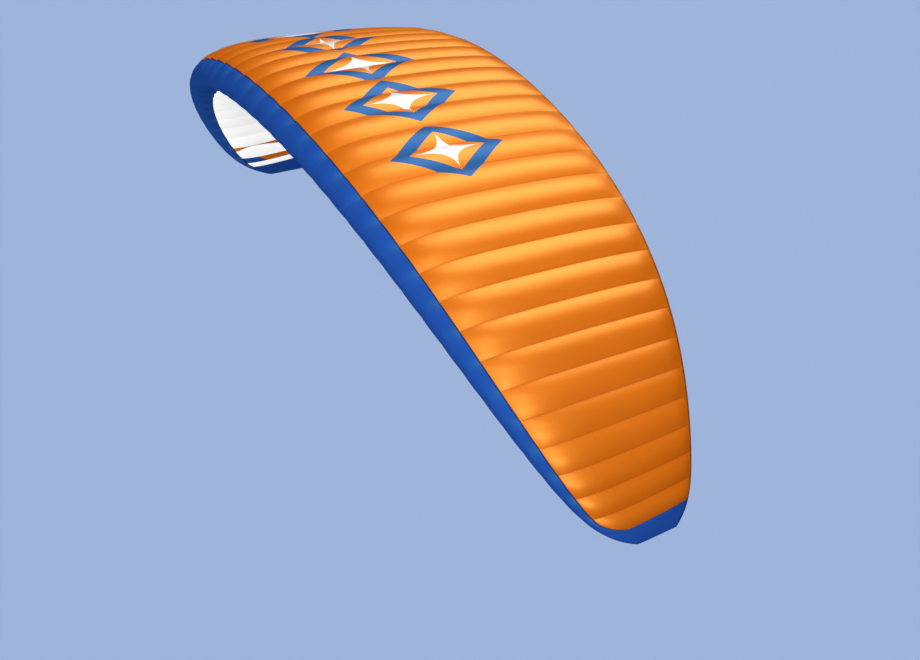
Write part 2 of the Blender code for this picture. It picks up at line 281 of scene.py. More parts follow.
# %% Faces, lengths and areas of a grid
def grid_faces(rows, columns, keep=None):
    """Corner numbers (m, 4) of the squares of a grid that are kept, anticlockwise seen from outside."""
    corner = (np.arange(rows - 1)[:, None] * columns + np.arange(columns - 1)).reshape(-1)
    squares = np.stack([corner, corner + 1, corner + columns + 1, corner + columns], axis=1)
    return squares if keep is None else squares[keep.reshape(-1)]


def shell_faces(squares, count):
    """Outer squares, the same squares turned round for the inner face, and walls along open edges."""
    starts = squares.reshape(-1)
    ends = np.roll(squares, -1, axis=1).reshape(-1)
    forward = starts.astype(np.int64) * count + ends
    backward = ends.astype(np.int64) * count + starts
    open_edge = ~np.isin(forward, backward)
    a, b = starts[open_edge], ends[open_edge]
    walls = np.stack([b, a, count + a, count + b], axis=1)
    return np.concatenate([squares, count + squares[:, ::-1], walls])


def along(points, axis):
    """Distance in metres along a grid of points (rows, columns, 3), added up along one axis."""
    step = np.linalg.norm(np.diff(points, axis=axis), axis=-1)
    total = np.cumsum(step, axis=axis)
    shape = list(total.shape)
    shape[axis] = 1
    return np.concatenate([np.zeros(shape), total], axis=axis)


def quad_area(points, squares):
    """Area in square metres of square faces: half the length of the cross product of the diagonals."""
    a, b, c, d = (points[squares[:, k]] for k in range(4))
    return float(np.linalg.norm(np.cross(c - a, d - b), axis=1).sum() / 2)


def both_faces(values):
    """One value a corner, for all corners of the outer face and then of the inner face."""
    return np.tile(values.reshape(-1), 2)


print("squares in a grid of 4 by 5 corners:", len(grid_faces(4, 5)))

# %% A sheet of cloth over a grid of places
PIECES = []


def cloth_sheet(name, cells, wraps, finish, stands_for, keep=None):
    """A closed thin sheet: outer face on wing_point, inner face THIN below, walls at the edges.

    cells and wraps are arrays (rows, columns), columns along +X and rows up the wrap.
    """
    rows, columns = cells.shape
    outer = wing_point(cells, wraps)
    inner = wing_point(cells, wraps, THIN)
    squares = grid_faces(rows, columns, keep)
    faces = shell_faces(squares, rows * columns)
    across, down = along(outer, 1), along(outer, 0)
    place = cells - np.floor(cells + ROUNDING)
    width = width_around(np.clip(np.floor(cells), 0, CELLS - 1) + 0.5)
    to_seam = np.minimum(place, 1 - place) * width
    to_end = np.minimum(down, down[-1] - down)
    reach = HALF_SPAN * station_of(cells)
    chord = chord_and_front(np.abs(station_of(cells)))[0]
    to_tail = (1 - wraps**2) * chord
    thing = make_mesh(
        name,
        np.concatenate([outer.reshape(-1, 3), inner.reshape(-1, 3)]),
        faces,
        {"to_seam": both_faces(to_seam), "to_end": both_faces(to_end),
         "to_tail": both_faces(to_tail), "inner_face": np.repeat([0.0, 1.0], rows * columns)},
        {"cloth": np.stack([both_faces(reach), both_faces(down)], axis=1),
         "place": np.stack([both_faces(reach), both_faces(wraps**2 * chord)], axis=1)},
    )
    thing.data.materials.append(finish)
    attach(thing, "root")
    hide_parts(*stands_for)
    area = quad_area(outer.reshape(-1, 3), squares)
    flat = (float(across[:, -1].max()), float(down[-1].max()))
    PIECES.append((name, flat, area))


print("inner face, mm under the outer one:", THIN * 1000)


# %% Places of a grid's columns and rows
def seam_to_seam(first, last, part):
    """Places in cells from one seam to another: part in each cell, a hair inside both seams."""
    places = np.concatenate([cell + part for cell in range(first, last)] + [[float(last)]])
    places[0] += SEAM_GAP / 2 / width_around(float(first))
    places[-1] -= SEAM_GAP / 2 / width_around(float(last))
    return places


def smooth_columns(first, last, per_cell):
    """Places in cells, per_cell to a cell: t - sin(2 pi t) / 12, which crowds them at the seams."""
    part = np.arange(per_cell) / per_cell
    return seam_to_seam(first, last, part - np.sin(2 * np.pi * part) / 12)


def trimmed(wraps, cells):
    """The wraps as a grid, with half a gap taken off an edge that another piece meets.

    Where that edge runs aslant, the gap is measured square to it: times the square root of
    one plus the slope squared.
    """
    wraps = np.asarray(wraps, float)
    wraps = np.array(np.broadcast_to(wraps if wraps.ndim == 2 else wraps[:, None],
                                     (len(wraps), len(cells))))
    chord = chord_and_front(np.abs(station_of(cells)))[0]
    for row, sign in ((0, 1), (-1, -1)):
        if abs(wraps[row, 0]) < 1:
            before, after = section(wraps[row] - SMALL_STEP), section(wraps[row] + SMALL_STEP)
            pace = np.hypot(after[0] - before[0], after[1] - before[1]) / (2 * SMALL_STEP) * chord
            slope = np.gradient(wraps[row], cells) * pace / width_around(np.floor(cells) + 0.5)
            wraps[row] += sign * SEAM_GAP / 2 / pace * np.hypot(1.0, slope)
    return wraps


print("columns of one cell, in cells:", np.round(smooth_columns(0, 1, 6), 3))

# %% [markdown]
# ## Finishes
#
# The wing is made of ripstop nylon. A heavier thread every few millimetres draws a fine grid on
# it, and a thin coating makes it airtight and a little glossy. The finish works from the cloth's
# own UV map in metres, so the grid keeps its real size on every panel. Along each seam the cloth
# is doubled and held by a line of stitches, and it puckers where the thread pulls it in.
#
# Node trees written out socket by socket are hard to read, so a small class adds the nodes, and
# each finish below reads like a sum.

# %% Small helpers for shader nodes
COLOUR_A, COLOUR_B, MIXED_COLOUR = 6, 7, 2


class Nodes:
    """Adds nodes to a material's tree. Each helper returns the new node's output socket."""

    def __init__(self, tree):
        """Keeps the tree that the helpers add to."""
        self.tree = tree

    def add(self, kind, inputs=(), **settings):
        """Adds a node of one kind, and links or sets each of its inputs."""
        node = self.tree.nodes.new(kind)
        for key, value in settings.items():
            setattr(node, key, value)
        for key, value in dict(inputs).items():
            if isinstance(value, bpy.types.NodeSocket):
                self.tree.links.new(value, node.inputs[key])
            else:
                node.inputs[key].default_value = value
        return node

    def math(self, operation, a, b=0.0, c=0.0):
        """One sum of sockets or numbers."""
        return self.add("ShaderNodeMath", {0: a, 1: b, 2: c}, operation=operation).outputs[0]

    def attribute(self, name):
        """A number that the mesh carries at every corner."""
        return self.add("ShaderNodeAttribute", attribute_name=name).outputs["Fac"]

    def uv(self, name):
        """A UV map: the vector, and its two parts in metres."""
        node = self.add("ShaderNodeUVMap", uv_map=name)
        parts = self.add("ShaderNodeSeparateXYZ", {0: node.outputs[0]})
        return node.outputs[0], parts.outputs[0], parts.outputs[1]

    def noise(self, vector, per_metre, detail, roughness=0.5):
        """Noise from 0 to 1, with so many waves to a metre each way."""
        stretched = self.add("ShaderNodeMapping", {"Vector": vector, "Scale": per_metre}).outputs[0]
        node = self.add("ShaderNodeTexNoise", {"Vector": stretched, "Scale": 1.0, "Detail": detail,
                                               "Roughness": roughness})
        return node.outputs["Fac"]

    def line(self, distance, place, width):
        """1 where a distance is within half a width of a place."""
        return self.math("LESS_THAN", self.math("ABSOLUTE", self.math("SUBTRACT", distance, place)),
                         width / 2)

    def dashes(self, position, pitch, share):
        """1 on the first share of every pitch along a line."""
        return self.math("LESS_THAN", self.math("FRACT", self.math("DIVIDE", position, pitch)), share)

    def fading(self, amount):
        """e to the minus amount: 1 at nought, and falling off."""
        return self.math("EXPONENT", self.math("MULTIPLY", amount, -1.0))

    def blend(self, factor, a, b):
        """Mixes two colours: sockets or (r, g, b)."""
        node = self.add("ShaderNodeMix", data_type="RGBA")
        for number, value in ((0, factor), (COLOUR_A, a), (COLOUR_B, b)):
            socket = node.inputs[number]
            if isinstance(value, bpy.types.NodeSocket):
                self.tree.links.new(value, socket)
            elif isinstance(value, tuple):
                socket.default_value = (*value, 1)
            else:
                socket.default_value = value
        return node.outputs[MIXED_COLOUR]

    def lay(self, mask, share, under, over):
        """Lays a colour over another where the mask is, by a share."""
        return self.blend(self.math("MULTIPLY", mask, share), under, over)


print("helpers:", [name for name in vars(Nodes) if not name.startswith("_")])


# %% A finish
class Finish(Nodes):
    """One cloth's material, with the helpers for its nodes."""

    def __init__(self, name, colour, roughness, gloss, gleam, index):
        """Sets on the shader's own sockets what is the same all over the cloth."""
        self.material = bpy.data.materials.new(name)
        self.material.use_nodes = True
        super().__init__(self.material.node_tree)
        self.shader = self.tree.nodes["Principled BSDF"]
        self.shader.inputs["Base Color"].default_value = (*colour, 1)
        self.shader.inputs["Roughness"].default_value = roughness
        self.shader.inputs["Specular IOR Level"].default_value = gloss
        self.shader.inputs["Specular Tint"].default_value = (*gleam, 1)
        self.shader.inputs["IOR"].default_value = index
        self.material.diffuse_color = (*colour, 1)

    def colour(self, socket):
        """Makes a socket the cloth's colour."""
        self.tree.links.new(socket, self.shader.inputs["Base Color"])

    def bump(self, height):
        """Makes a socket the cloth's fine relief, in metres."""
        node = self.add("ShaderNodeBump", {"Height": height, "Strength": 1.0, "Distance": 1.0})
        self.tree.links.new(node.outputs[0], self.shader.inputs["Normal"])


print("a finish also sets:", [name for name in vars(Finish) if not name.startswith("_")])


# %% [markdown]
# ## The printed row
#
# Wings of this kind carry a large print across the middle of the upper skin. Here it is a row of
# lozenge frames, each round a four-pointed star. It could be an image, but the second UV map
# already says where on the whole wing a point lies, so each form is one short inequality, and it
# stays sharp from near by and runs on over the seams. The coating tints its own gloss, so the
# print has to change the tint too. Inside the wing the print hardly shows through, and little
# light gets in, so the inner face is painted darker as painted shade. The gloss is also painted
# darker down in the seams' valleys, as painted shade.

# %% Print and inner face
PRINT_BLUE = (0.016, 0.105, 0.30)
PRINT_WHITE = (0.92, 0.92, 0.92)
PRINT_FROM = -2.32
PRINT_PITCH = 0.86
PRINT_COUNT = 5
PRINT_MIDDLE = 1.20
PRINT_INSIDE = 0.15
LOZENGE_HALF = (0.40, 0.62)
LOZENGE_INSIDE = 0.66
STAR_HALF = (0.25, 0.40)
INSIDE_SHADE = 0.75
VALLEY_SHARE = 0.4
INSIDE_DARK = (0.060, 0.010, 0.001)


def printed(f, base, valley_shade):
    """A row of lozenge frames, each round a four-pointed star, across the middle of the wing.

    Lozenge: |x| / a + |y| / b is under 1. Star: the roots of |x| / a and |y| / b add up to under 1.
    """
    _, u, v = f.uv("place")
    inside = f.attribute("inner_face")
    shows = f.math("MULTIPLY_ADD", inside, PRINT_INSIDE - 1.0, 1.0)
    along_row = f.math("DIVIDE", f.math("SUBTRACT", u, PRINT_FROM), PRINT_PITCH)
    in_row = f.math("MULTIPLY", f.math("GREATER_THAN", along_row, 0.0),
                    f.math("LESS_THAN", along_row, float(PRINT_COUNT)))
    in_row = f.math("MULTIPLY", in_row, shows)
    from_middle = f.math("ABSOLUTE", f.math("SUBTRACT", f.math("FRACT", along_row), 0.5))
    x = f.math("MULTIPLY", from_middle, PRINT_PITCH)
    y = f.math("ABSOLUTE", f.math("SUBTRACT", v, PRINT_MIDDLE))
    ring = f.math("ADD", f.math("DIVIDE", x, LOZENGE_HALF[0]), f.math("DIVIDE", y, LOZENGE_HALF[1]))
    lozenge = f.math("MULTIPLY", f.math("LESS_THAN", ring, 1.0),
                     f.math("GREATER_THAN", ring, LOZENGE_INSIDE))
    star = f.math("LESS_THAN",
                  f.math("ADD", f.math("SQRT", f.math("DIVIDE", x, STAR_HALF[0])),
                         f.math("SQRT", f.math("DIVIDE", y, STAR_HALF[1]))), 1.0)
    blue, white = f.math("MULTIPLY", in_row, lozenge), f.math("MULTIPLY", in_row, star)
    # Painted shade: the inner face is darkened, and the gloss tint is darkened on the inner face and in
    # the seams' valleys.
    shade = f.math("MULTIPLY", inside, INSIDE_SHADE)
    plain_gleam = tuple(f.shader.inputs["Specular Tint"].default_value)[:3]
    gleam = f.blend(white, f.blend(blue, plain_gleam, PRINT_BLUE), PRINT_WHITE)
    gloss_shade = f.math("MAXIMUM", shade, f.math("MULTIPLY", valley_shade, VALLEY_SHARE))
    f.tree.links.new(f.blend(gloss_shade, gleam, INSIDE_DARK), f.shader.inputs["Specular Tint"])
    base = f.blend(white, f.blend(blue, base, PRINT_BLUE), PRINT_WHITE)
    return f.blend(shade, base, INSIDE_DARK)


print("printed row, m: from %.2f to %.2f" % (PRINT_FROM, PRINT_FROM + PRINT_COUNT * PRINT_PITCH))

# %% [markdown]
# ## The edge of the nose band
#
# Where the band meets the orange panels its edge is turned in, and a thin dark line is painted
# there: the fold's dark joint with painted shadow over it. Near the end of every rib seam the blue
# is painted paler: a painted highlight where the puckered cloth would catch the light.

# %% Turned-in edge with painted shadow, and painted highlights at the seams
EDGE_SHADE = 0.012
EDGE_AFT = 0.02
EDGE_SHARE = 0.85
EDGE_SHADOW_DARK = (0.006, 0.010, 0.022)
GLINT_BLUE = (0.050, 0.230, 0.45)
GLINT_SHARE = 0.6
GLINT_FADE = (20.0, 14.0)


def edge_of_band(f, base, to_seam, to_end):
    """The band's edge: a dark fold with painted shadow, and painted highlights at each seam's end.

    Highlight: exp(-a x distance to the seam - b x distance to the edge), with a and b in GLINT_FADE.
    The leading edge itself has neither, so both start a little aft of it.
    """
    _, _, aft = f.uv("place")
    behind_nose = f.math("GREATER_THAN", aft, EDGE_AFT)
    # Painted shadow along the turned-in fold: the edge is darkened within EDGE_SHADE of the panel's
    # end.
    fold_and_shadow = f.math("MULTIPLY", f.math("LESS_THAN", to_end, EDGE_SHADE), behind_nose)
    away = f.math("ADD", f.math("MULTIPLY", to_seam, GLINT_FADE[0]),
                  f.math("MULTIPLY", to_end, GLINT_FADE[1]))
    # Painted highlight: the blue is made paler near each seam's end.
    glint = f.math("MULTIPLY", f.fading(away), behind_nose)
    base = f.lay(glint, GLINT_SHARE, base, GLINT_BLUE)
    return f.lay(fold_and_shadow, EDGE_SHARE, base, EDGE_SHADOW_DARK)


print("turned-in edge of the band, mm:", EDGE_SHADE * 1000)

# %% [markdown]
# ## Ripstop nylon
#
# One function makes all three cloths, and each cloth differs in a few numbers. The colour starts
# from a soft mottle. The grid, the doubled cloth at the seams, the painted shade in the seams'
# valleys, the hem and the stitches are laid over it one by one. The same masks then raise the
# bump. A bump is enough for them: the threads are far finer than any mesh, and a mesh of every
# stitch would be enormous.
#
# The orange cloth has a strong gloss of its own colour, which draws the bright streak along each
# cell, and a thin clear coat makes the middle of the streak paler. The white cloth also glows a
# little: painted light, an emission that stands in for daylight coming through so thin a cloth.

# %% Sizes of the weave and the seams, in metres
RIP_PITCH = 0.005
RIP_THREAD = 0.0006
STITCH_INSET = 0.006
STITCH_WIDTH = 0.0012
STITCH_PITCH = 0.0045
STITCH_SHARE = 0.65
FOLD_WIDTH = 0.0105
HEM_WIDTH = 0.026
VALLEY_SHADE_FADE = 130.0
PUCKER_FADE = 28.0
UV_SHIFT = 20.0
CRINKLE_HEIGHT = 0.0011
PUCKER_HEIGHT = 0.004
THREAD_HEIGHT = 0.00008
STITCH_HEIGHT = 0.0004
FOLD_HEIGHT = 0.0002
print("ripstop grid, mm:", RIP_PITCH * 1000, " stitch, mm:", STITCH_PITCH * 1000)

# %% Shares of the colours, and the noises' waves to a metre
LIGHT_SHARE = 1.10
LIGHT_ADDED = 0.004
DARK_SHARE = 0.86
GRID_SHARE = 0.16
FOLD_SHARE = 0.20
VALLEY_SHADE_SHARES = (0.38, 0.26, 0.26)
HEM_DEPTH = 0.8
HEM_SHARE = 0.22
THREAD_SHARE = 0.7
COATING_ROUGHNESS = 0.4
MOTTLE_WAVES = (3.0, 1.2, 1.0)
CRINKLE_WAVES = (26.0, 9.0, 1.0)
CRINKLE_ROUGHNESS = 0.55
PUCKER_WAVES = (3.0, 42.0, 1.0)
FINE_DETAIL = 3.0
COARSE_DETAIL = 1.0
print("crinkles to a metre, across and along:", CRINKLE_WAVES[:2])


# %% The cloth's masks
def stitches(f, u, v, to_seam, to_end):
    """1 on the stitches: dashes on a line beside each side seam and each end of a panel."""
    beside = f.math("MULTIPLY", f.line(to_seam, STITCH_INSET, STITCH_WIDTH),
                    f.dashes(v, STITCH_PITCH, STITCH_SHARE))
    at_end = f.math("MULTIPLY", f.line(to_end, STITCH_INSET, STITCH_WIDTH),
                    f.dashes(u, STITCH_PITCH, STITCH_SHARE))
    return f.math("MAXIMUM", beside, at_end)


def rip_grid(f, u, v):
    """1 on the heavier threads, which cross every RIP_PITCH."""
    along_u = f.math("MODULO", f.math("ADD", u, UV_SHIFT), RIP_PITCH)
    along_v = f.math("MODULO", v, RIP_PITCH)
    return f.math("MAXIMUM", f.line(along_u, RIP_PITCH / 2, RIP_THREAD),
                  f.line(along_v, RIP_PITCH / 2, RIP_THREAD))


print("stitches, mm from the seam:", STITCH_INSET * 1000)


# %% One cloth
def ripstop(name, colour, thread, gleam, gloss, valley_shade_depth, roughness=0.45, index=1.5,
            print_on=False, edged=False, coating=0.0, painted_glow=0.0):
    """Coated ripstop: cloth colour, faint grid, stitches along seams, crinkles and puckers in bump."""
    f = Finish(name, colour, roughness, gloss, gleam, index)
    cloth, u, v = f.uv("cloth")
    to_seam, to_end = f.attribute("to_seam"), f.attribute("to_end")
    grid, stitch = rip_grid(f, u, v), stitches(f, u, v, to_seam, to_end)
    nearest = f.math("MINIMUM", to_seam, to_end)
    doubled = f.math("LESS_THAN", nearest, FOLD_WIDTH)
    # Painted shade: the colour is darkened down in the valleys at the seams and the panel ends, fading
    # with the distance.
    valley_shade = f.fading(f.math("MULTIPLY", nearest, VALLEY_SHADE_FADE))
    hem = f.math("LESS_THAN", f.attribute("to_tail"), HEM_WIDTH)
    mottle = f.noise(cloth, MOTTLE_WAVES, FINE_DETAIL)
    light = tuple(min(1.0, part * LIGHT_SHARE + LIGHT_ADDED) for part in colour)
    dark = tuple(part * DARK_SHARE for part in colour)
    shaded = tuple(part * share for part, share in zip(colour, VALLEY_SHADE_SHARES))
    hemmed = tuple(part * HEM_SHARE for part in colour)
    base = f.blend(mottle, dark, light)
    base = f.lay(grid, GRID_SHARE, base, light)
    base = f.lay(doubled, FOLD_SHARE, base, dark)
    base = f.lay(valley_shade, valley_shade_depth, base, shaded)
    base = printed(f, base, valley_shade) if print_on else base
    base = f.lay(hem, HEM_DEPTH, base, hemmed)
    base = edge_of_band(f, base, to_seam, to_end) if edged else base
    f.colour(f.lay(stitch, THREAD_SHARE, base, thread))
    crinkle = f.noise(cloth, CRINKLE_WAVES, FINE_DETAIL, CRINKLE_ROUGHNESS)
    near_seam = f.fading(f.math("MULTIPLY", to_seam, PUCKER_FADE))
    pucker = f.math("MULTIPLY", near_seam, f.noise(cloth, PUCKER_WAVES, COARSE_DETAIL))
    height = f.math("MULTIPLY", crinkle, CRINKLE_HEIGHT)
    for mask, rise in ((pucker, PUCKER_HEIGHT), (grid, THREAD_HEIGHT), (stitch, STITCH_HEIGHT),
                       (doubled, FOLD_HEIGHT)):
        height = f.math("MULTIPLY_ADD", mask, rise, height)
    f.bump(height)
    f.shader.inputs["Coat Weight"].default_value = coating
    f.shader.inputs["Coat Roughness"].default_value = COATING_ROUGHNESS
    # Painted light: the emission stands in for daylight that comes through the thin cloth.
    f.shader.inputs["Emission Color"].default_value = (1, 1, 1, 1)
    f.shader.inputs["Emission Strength"].default_value = painted_glow
    return f.material


print("relief, mm: stitches %.1f, puckers %.1f" % (STITCH_HEIGHT * 1000, PUCKER_HEIGHT * 1000))

# %% Three cloths
ORANGE = (0.95, 0.184, 0.001)
BLUE = (0.014, 0.080, 0.40)
WHITE = (0.90, 0.90, 0.89)
ORANGE_THREAD = (0.55, 0.12, 0.006)
BLUE_THREAD = (0.02, 0.09, 0.45)
WHITE_THREAD = (0.6, 0.6, 0.6)
ORANGE_GLEAM = (1.0, 0.445, 0.06)
BLUE_GLEAM = (0.15, 0.6, 1.0)
WHITE_GLEAM = (1.0, 1.0, 1.0)

ORANGE_CLOTH = ripstop("orange_ripstop", ORANGE, ORANGE_THREAD, ORANGE_GLEAM, gloss=1.0,
                       valley_shade_depth=0.45, index=2.4, print_on=True, coating=0.3)
BLUE_CLOTH = ripstop("blue_ripstop", BLUE, BLUE_THREAD, BLUE_GLEAM, gloss=0.0,
                     valley_shade_depth=0.15, roughness=0.6, edged=True)
WHITE_CLOTH = ripstop("white_ripstop", WHITE, WHITE_THREAD, WHITE_GLEAM, gloss=0.1,
                      valley_shade_depth=0.2, painted_glow=0.50)
print("finishes:", [m.name for m in bpy.data.materials if m.name.endswith("ripstop")])

# %% [markdown]
# ## The upper skin
#
# Each cell has its own upper panel, one long strip from the nose band to the trailing edge. The
# panels could be one big sheet with drawn seams, but sewn strips swell one by one and meet in
# sharp valleys, and separate meshes give those valleys for nothing. In the last cell at each
# end the front edge sweeps aft in a curve, so that the orange ends in a round corner.

# %% Thirty-seven upper panels
NOSE_TOP = 0.0567
NOSE_FLARE = 0.18
NOSE_FLARE_POWER = 2.5
NOSE_BOTTOM = 0.0958
WRAP_BOTTOM = -np.sqrt(NOSE_BOTTOM)
NOSE_LENGTHS = {"right": (0, 12), "centre": (12, 25), "left": (25, 37)}
PER_CELL = 18
UPPER_ROWS = 56


def nose_edge(cell):
    """Wrap of the band's top edge: root of (NOSE_TOP + flare x (way into the last cell)^power)."""
    into_last = np.maximum(np.abs(cell - CELLS / 2) - (CELLS / 2 - 1), 0.0)
    return np.sqrt(NOSE_TOP + NOSE_FLARE * into_last**NOSE_FLARE_POWER)


for index in range(CELLS):
    columns = smooth_columns(index, index + 1, PER_CELL)
    edge = nose_edge(columns)
    wraps = trimmed(edge + (1 - edge) * np.linspace(0, 1, UPPER_ROWS + 1)[:, None], columns)
    cells = np.broadcast_to(columns, wraps.shape)
    cloth_sheet(f"upper_{index + 1:02d}", cells, wraps, ORANGE_CLOTH,
                [f"upper_panel_{index + 1:02d}"])
print("upper panels:", len(PIECES), " middle one flat, m: %.3f x %.3f" % PIECES[CELLS // 2][1])

# %% [markdown]
# ## The nose band
#
# A blue band runs round the leading edge. Stiff rods behind it keep the nose open in flight, and
# underneath, where the air meets the wing, the thirteen middle cells have a mouth each. One sheet
# carried round the nose from the underside to the top shows no seam at the very front.

# %% Three lengths of nose band with their mouths
MOUTH_FROM = 0.018
MOUTH_TO = 0.065
MOUTH_CELLS = range(*NOSE_LENGTHS["centre"])
MOUTH_COLUMNS = (0.15, 0.85)
BAND_STEPS = (3, 12, 3)
NOSE_ROWS = {"rear": 6, "mouth": 6, "front": 8, "top": 14}


def nose_wraps(columns):
    """Wraps of the band's rows: behind the mouths, along them, before them, and over the top."""
    marks = (WRAP_BOTTOM, -np.sqrt(MOUTH_TO), -np.sqrt(MOUTH_FROM), 0.0)
    spans = [np.linspace(a, b, count + 1)[:-1] for a, b, count in
             zip(marks, marks[1:], NOSE_ROWS.values())]
    under = np.repeat(np.concatenate(spans)[:, None], len(columns), axis=1)
    over = nose_edge(columns) * np.linspace(0, 1, NOSE_ROWS["top"] + 1)[:, None]
    return np.concatenate([under, over])


def mouth_columns(first, last):
    """Columns of the band: even steps, with lines exactly at the mouths' sides."""
    marks = (0.0, *MOUTH_COLUMNS, 1.0)
    part = np.concatenate([np.linspace(a, b, count + 1)[:-1]
                           for a, b, count in zip(marks, marks[1:], BAND_STEPS)])
    return seam_to_seam(first, last, part)


def outside_mouths(cells, wraps):
    """True for every square of the grid that isn't in a mouth."""
    cell = (cells[:-1, :-1] + cells[1:, 1:]) / 2
    wrap = (wraps[:-1, :-1] + wraps[1:, 1:]) / 2
    place = cell - np.floor(cell)
    in_row = (wrap < 0) & (wrap**2 > MOUTH_FROM) & (wrap**2 < MOUTH_TO)
    in_column = (place > MOUTH_COLUMNS[0]) & (place < MOUTH_COLUMNS[1])
    has_mouth = (cell > MOUTH_CELLS[0]) & (cell < MOUTH_CELLS[-1] + 1)
    return ~(in_row & in_column & has_mouth)


for length, (first, last) in NOSE_LENGTHS.items():
    columns = mouth_columns(first, last)
    wraps = trimmed(nose_wraps(columns), columns)
    cells = np.broadcast_to(columns, wraps.shape)
    cloth_sheet(f"nose_{length}", cells, wraps, BLUE_CLOTH,
                [f"nose_top_{length}", f"nose_under_{length}"],
                keep=outside_mouths(cells, wraps))
print("mouths:", len(MOUTH_CELLS), " nose band flat sizes, m:",
      [tuple(round(x, 3) for x in piece[1]) for piece in PIECES[-3:]])

# %% [markdown]
# ## The lower skin
#
# The underside is white and nearly flat. The two outermost cells at each end are cut into
# slanting stripes: an orange flash with a narrow waist, a white inset, one stripe that is orange
# behind and blue in front, and a white border beside the blue tip cell.

# %% Five white sections
LOWER_ENDS = {
    "lower_right_outer": (2, 9),
    "lower_right_inner": (9, 15),
    "lower_centre": (15, 22),
    "lower_left_inner": (22, 28),
    "lower_left_outer": (28, 35),
}
LOWER_PER_CELL = 14
LOWER_ROWS = 40
for name, (first, last) in LOWER_ENDS.items():
    columns = smooth_columns(first, last, LOWER_PER_CELL)
    wraps = trimmed(np.linspace(-1.0, WRAP_BOTTOM, LOWER_ROWS + 1), columns)
    cells = np.broadcast_to(columns, wraps.shape)
    cloth_sheet(f"{name}_skin", cells, wraps, WHITE_CLOTH, [name])
print("lower skin sections:", len(LOWER_ENDS))

# %% Lines between the stripes
STRIPED_CELLS = 2
LINES_AT_TAIL = (2.0, 1.5, 1.0, 0.85, 0.50, 0.0)
LINES_AT_NOSE = (2.0, 1.70, 1.0, 0.97, 0.50, 0.0)
WAIST_LINE = 1
FLASH_PINCH = 0.93
FLASH_PINCH_SKEW = 1.87
FLASH_PINCH_POWER = 1.4


def stripe_line(number, forward):
    """Cells in from the tip cell: straight from the tail place to the nose place.

    At the flash's waist the waist line comes close to line 0: a bow sin(pi f^skew)^power.
    """
    tail, nose = LINES_AT_TAIL[number], LINES_AT_NOSE[number]
    straight = tail + (nose - tail) * forward
    if number != WAIST_LINE:
        return straight
    pinch = np.sin(np.pi * forward**FLASH_PINCH_SKEW).clip(0) ** FLASH_PINCH_POWER
    return straight + (STRIPED_CELLS - straight) * FLASH_PINCH * pinch


print("flash at its waist, cells: %.3f" %
      (STRIPED_CELLS - stripe_line(WAIST_LINE, np.linspace(0, 1, 101)).max()))

# %% Ten striped panels
REAR_SHARE = 0.67
REAR_SLANT = 0.05
STRIPE_COLUMNS = 10
STRIPE_PANELS = {
    "flash": ((0, 1), (0.0, 1.0), ORANGE_CLOTH, "orange_cloth"),
    "inset": ((1, 2, 3), (0.0, 1.0), WHITE_CLOTH, "white_cloth"),
    "stripe_rear": ((3, 4), (0.0, REAR_SHARE), ORANGE_CLOTH, "orange_cloth"),
    "stripe_front": ((3, 4), (REAR_SHARE, 1.0), BLUE_CLOTH, "blue_cloth"),
    "border": ((4, 5), (0.0, 1.0), WHITE_CLOTH, "white_cloth"),
}


def striped_places(lines, rear, front):
    """Cells in from the tip, and shares of the way forward, both as grids (rows, columns).

    The columns run evenly from each line to the next. Where an end is the joint inside the
    two-coloured stripe, at REAR_SHARE, it slants from one side of the stripe to the other.
    """
    rows = round((front - rear) * LOWER_ROWS)
    marks = np.linspace(0, len(lines) - 1, STRIPE_COLUMNS * (len(lines) - 1) + 1)
    aslant = REAR_SLANT * (1 - 2 * marks / marks[-1])
    ends = [limit + (limit == REAR_SHARE) * aslant for limit in (rear, front)]
    forward = np.linspace(*ends, rows + 1)
    edges = np.stack([stripe_line(number, forward) for number in lines])
    low = np.minimum(marks.astype(int), len(lines) - 2)
    column = np.arange(len(marks))
    before, after = edges[low, :, column].T, edges[low + 1, :, column].T
    from_tip = before + (after - before) * (marks - low)
    from_tip[:, 0] -= SEAM_GAP / 2 / width_around(from_tip[:, 0])
    from_tip[:, -1] += SEAM_GAP / 2 / width_around(from_tip[:, -1])
    return from_tip, forward


for side, label in ((1, "left"), (-1, "right")):
    for name, (lines, (rear, front), finish, slot) in STRIPE_PANELS.items():
        from_tip, forward = striped_places(lines, rear, front)
        cells = CELLS - from_tip if side > 0 else from_tip[:, ::-1]
        forward = forward if side > 0 else forward[:, ::-1]
        wraps = trimmed(-1.0 + forward * (WRAP_BOTTOM + 1.0), cells[0])
        cloth_sheet(f"{name}_{label}_skin", cells, wraps, finish, [f"{name}_{label}"])
print("striped panels:", 2 * len(STRIPE_PANELS))

# %% [markdown]
# ## The tip cells
#
# Outside the last rib each wing tip is a small blue cell that closes over a quarter circle. It is
# an open bowl towards the rib, so a Solidify modifier gives it its inner face.

# %% Faces of a tip cell
TIP_RINGS = 16
TIP_ROWS = 44
FAR_FROM_ENDS = 1.0


def tip_faces(count, columns, side):
    """Squares of the grid, a row that closes it at the tail, and a cap over the outermost loop.

    The cap joins each corner on the upper side to its mirror on the lower side.
    """
    tail = np.arange(columns - 1)
    last_row = (count - 1) * columns
    closing = np.stack([last_row + tail, last_row + tail + 1, tail + 1, tail], axis=1)
    row = np.arange(TIP_ROWS)
    mirror = count - 1 - row
    outermost = columns - 1 if side > 0 else 0
    cap = np.stack([row, row + 1, mirror - 1, mirror], axis=1) * columns + outermost
    cap = cap if side < 0 else cap[:, ::-1]
    return np.concatenate([grid_faces(count, columns), closing, cap])


print("faces of a tip cell:", len(tip_faces(2 * TIP_ROWS + 1, TIP_RINGS + 1, 1)))


